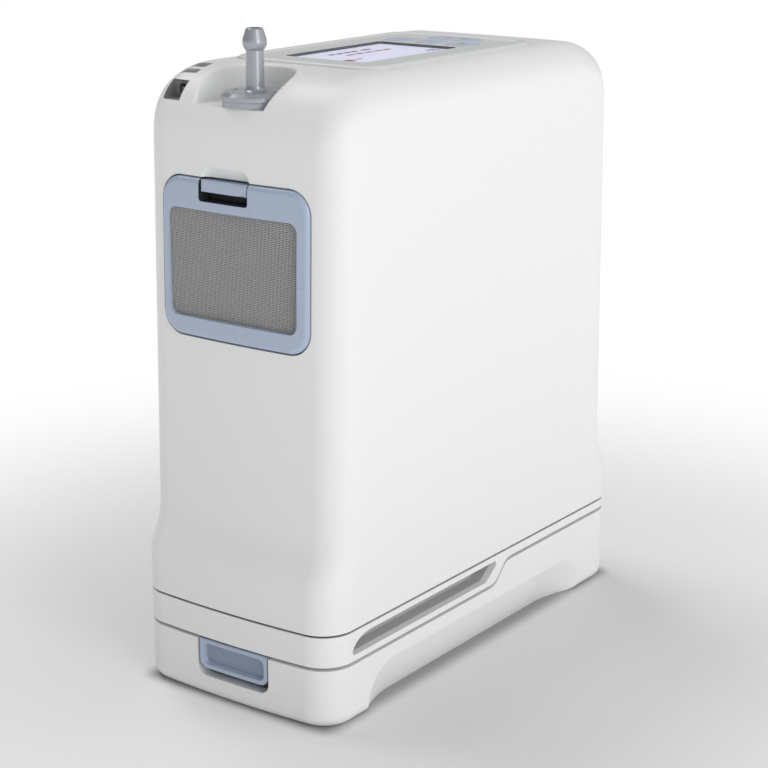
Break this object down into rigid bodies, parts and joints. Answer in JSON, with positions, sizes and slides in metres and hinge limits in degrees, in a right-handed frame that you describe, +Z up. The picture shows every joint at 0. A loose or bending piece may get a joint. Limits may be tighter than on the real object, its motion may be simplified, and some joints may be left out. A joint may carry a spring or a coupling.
{
  "type": "portable oxygen concentrator",
  "caption": "Hand-sized portable oxygen concentrator: white upright case, blue filter, cannula nozzle, control panel, slide-off battery pack.",
  "frame": {"origin": "centre of the base, on the surface it stands on", "axes": "+Z up, +X along the length towards the rear end, -X out of the front end with the filter and battery latch"},
  "size_m": [0.15, 0.068, 0.1829],
  "materials": {
    "housing_white": "satin moulded plastic",
    "panel_grey": "satin moulded plastic",
    "filter_blue": "glossy moulded plastic",
    "nozzle_grey": "satin moulded plastic",
    "mesh_grey": "woven mesh",
    "foam_dark": "open cell foam",
    "duct_grey": "matte",
    "gasket_grey": "matte",
    "rubber_black": "matte",
    "key_blue": "satin silicone",
    "window_clear": "polished",
    "display_face": "smooth",
    "board_green": "solder mask",
    "cell_blue": "shrink film",
    "contact_brass": "polished",
    "black_plastic": "matte",
    "steel": "brushed",
    "aluminium": "anodised",
    "filter_disc": "pressed fibre",
    "tray_dark": "matte"
  },
  "bodies": {
    "device": {"upper_housing": "housing_white", "seam_gasket": "gasket_grey", "base_tray": "housing_white", "exhaust_ducts": "duct_grey", "battery_contacts": "contact_brass", "nozzle_seat": "black_plastic", "control_panel": "panel_grey", "display_window": "window_clear", "display_module": "display_face", "display_board": "board_green", "dc_jack": "black_plastic", "service_cover": "nozzle_grey", "alarm_sounder": "black_plastic", "chassis": "duct_grey", "rubber_mounts": "rubber_black", "crankcase": "aluminium", "cylinder_sleeves": "aluminium", "cylinder_heads": "aluminium", "shaft_bearings": "steel", "motor_stator": "steel", "motor_can": "steel", "fan_frame": "black_plastic", "sieve_columns": "aluminium", "column_caps": "duct_grey", "valve_manifold": "duct_grey", "solenoid_valves": "steel", "intake_muffler": "black_plastic", "product_tank": "duct_grey", "flow_sensor": "black_plastic", "main_board": "board_green", "air_hoses": "rubber_black", "housing_screws": "steel"},
    "battery_pack": {"battery_case": "housing_white", "battery_cover": "tray_dark", "battery_cells": "cell_blue", "battery_board": "board_green", "battery_socket": "black_plastic", "latch_springs": "steel"},
    "battery_latch": {"battery_latch": "filter_blue"},
    "front_filter": {"front_filter_frame": "filter_blue", "front_filter_mesh": "mesh_grey", "front_filter_foam": "foam_dark"},
    "front_filter_tab": {"front_filter_tab": "filter_blue"},
    "rear_filter": {"rear_filter_frame": "filter_blue", "rear_filter_mesh": "mesh_grey", "rear_filter_foam": "foam_dark"},
    "rear_filter_tab": {"rear_filter_tab": "filter_blue"},
    "output_stack": {"nozzle_ring": "rubber_black", "output_filter": "filter_disc"},
    "nozzle": {"cannula_nozzle": "nozzle_grey"},
    "key_alert": {"key_alert": "key_blue"},
    "key_minus": {"key_minus": "key_blue"},
    "key_plus": {"key_plus": "key_blue"},
    "key_power": {"key_power": "key_blue"},
    "fan_impeller": {"fan_impeller": "black_plastic"},
    "compressor_rotor": {"motor_shaft": "steel", "crank_eccentric": "steel", "motor_rotor": "steel"},
    "piston_a": {"piston_a": "aluminium"},
    "piston_b": {"piston_b": "aluminium"}
  },
  "joints": [
    {"name": "battery_slide", "type": "slide", "parent": "device", "child": "battery_pack", "axis": [1, 0, 0], "range_m": [0, 0.16]},
    {"name": "battery_latch_press", "type": "slide", "parent": "battery_pack", "child": "battery_latch", "axis": [0, 0, -1], "range_m": [0, 0.002], "stiffness_N_per_m": 600, "springref_m": -0.001, "deforming": ["latch_springs"]},
    {"name": "front_filter_pull", "type": "slide", "parent": "device", "child": "front_filter", "axis": [-1, 0, 0], "range_m": [0, 0.03]},
    {"name": "front_tab_press", "type": "slide", "parent": "front_filter", "child": "front_filter_tab", "axis": [0, 0, -1], "range_m": [0, 0.0018], "stiffness_N_per_m": 700, "springref_m": -0.0005},
    {"name": "rear_filter_pull", "type": "slide", "parent": "device", "child": "rear_filter", "axis": [1, 0, 0], "range_m": [0, 0.03]},
    {"name": "rear_tab_press", "type": "slide", "parent": "rear_filter", "child": "rear_filter_tab", "axis": [0, 0, -1], "range_m": [0, 0.0018], "stiffness_N_per_m": 700, "springref_m": -0.0005},
    {"name": "nozzle_lift", "type": "slide", "parent": "device", "child": "output_stack", "axis": [0, 0, 1], "range_m": [0, 0.006]},
    {"name": "nozzle_turn", "type": "hinge", "parent": "output_stack", "child": "nozzle", "pos_m": [-0.0585, 0.001, 0.165], "axis": [0, 0, 1], "range_deg": [0, 1450]},
    {"name": "key_alert_press", "type": "slide", "parent": "device", "child": "key_alert", "axis": [0, 0, -1], "range_m": [0, 0.0006], "stiffness_N_per_m": 1500, "springref_m": -0.0003},
    {"name": "key_minus_press", "type": "slide", "parent": "device", "child": "key_minus", "axis": [0, 0, -1], "range_m": [0, 0.0006], "stiffness_N_per_m": 1500, "springref_m": -0.0003},
    {"name": "key_plus_press", "type": "slide", "parent": "device", "child": "key_plus", "axis": [0, 0, -1], "range_m": [0, 0.0006], "stiffness_N_per_m": 1500, "springref_m": -0.0003},
    {"name": "key_power_press", "type": "slide", "parent": "device", "child": "key_power", "axis": [0, 0, -1], "range_m": [0, 0.0006], "stiffness_N_per_m": 1500, "springref_m": -0.0003},
    {"name": "fan_spin", "type": "hinge", "parent": "device", "child": "fan_impeller", "pos_m": [-0.0553, 0, 0.1215], "axis": [1, 0, 0], "continuous": true},
    {"name": "compressor_spin", "type": "hinge", "parent": "device", "child": "compressor_rotor", "pos_m": [-0.014, 0, 0.061], "axis": [0, 1, 0], "continuous": true},
    {"name": "piston_a_stroke", "type": "slide", "parent": "device", "child": "piston_a", "axis": [1, 0, 0], "range_m": [-0.0016, 0.0016]},
    {"name": "piston_b_stroke", "type": "slide", "parent": "device", "child": "piston_b", "axis": [-1, 0, 0], "range_m": [-0.0016, 0.0016]}
  ],
  "couplings": [
    {"joint": "nozzle_turn", "follows": "nozzle_lift", "rad_per_m": 4188.8}
  ]
}
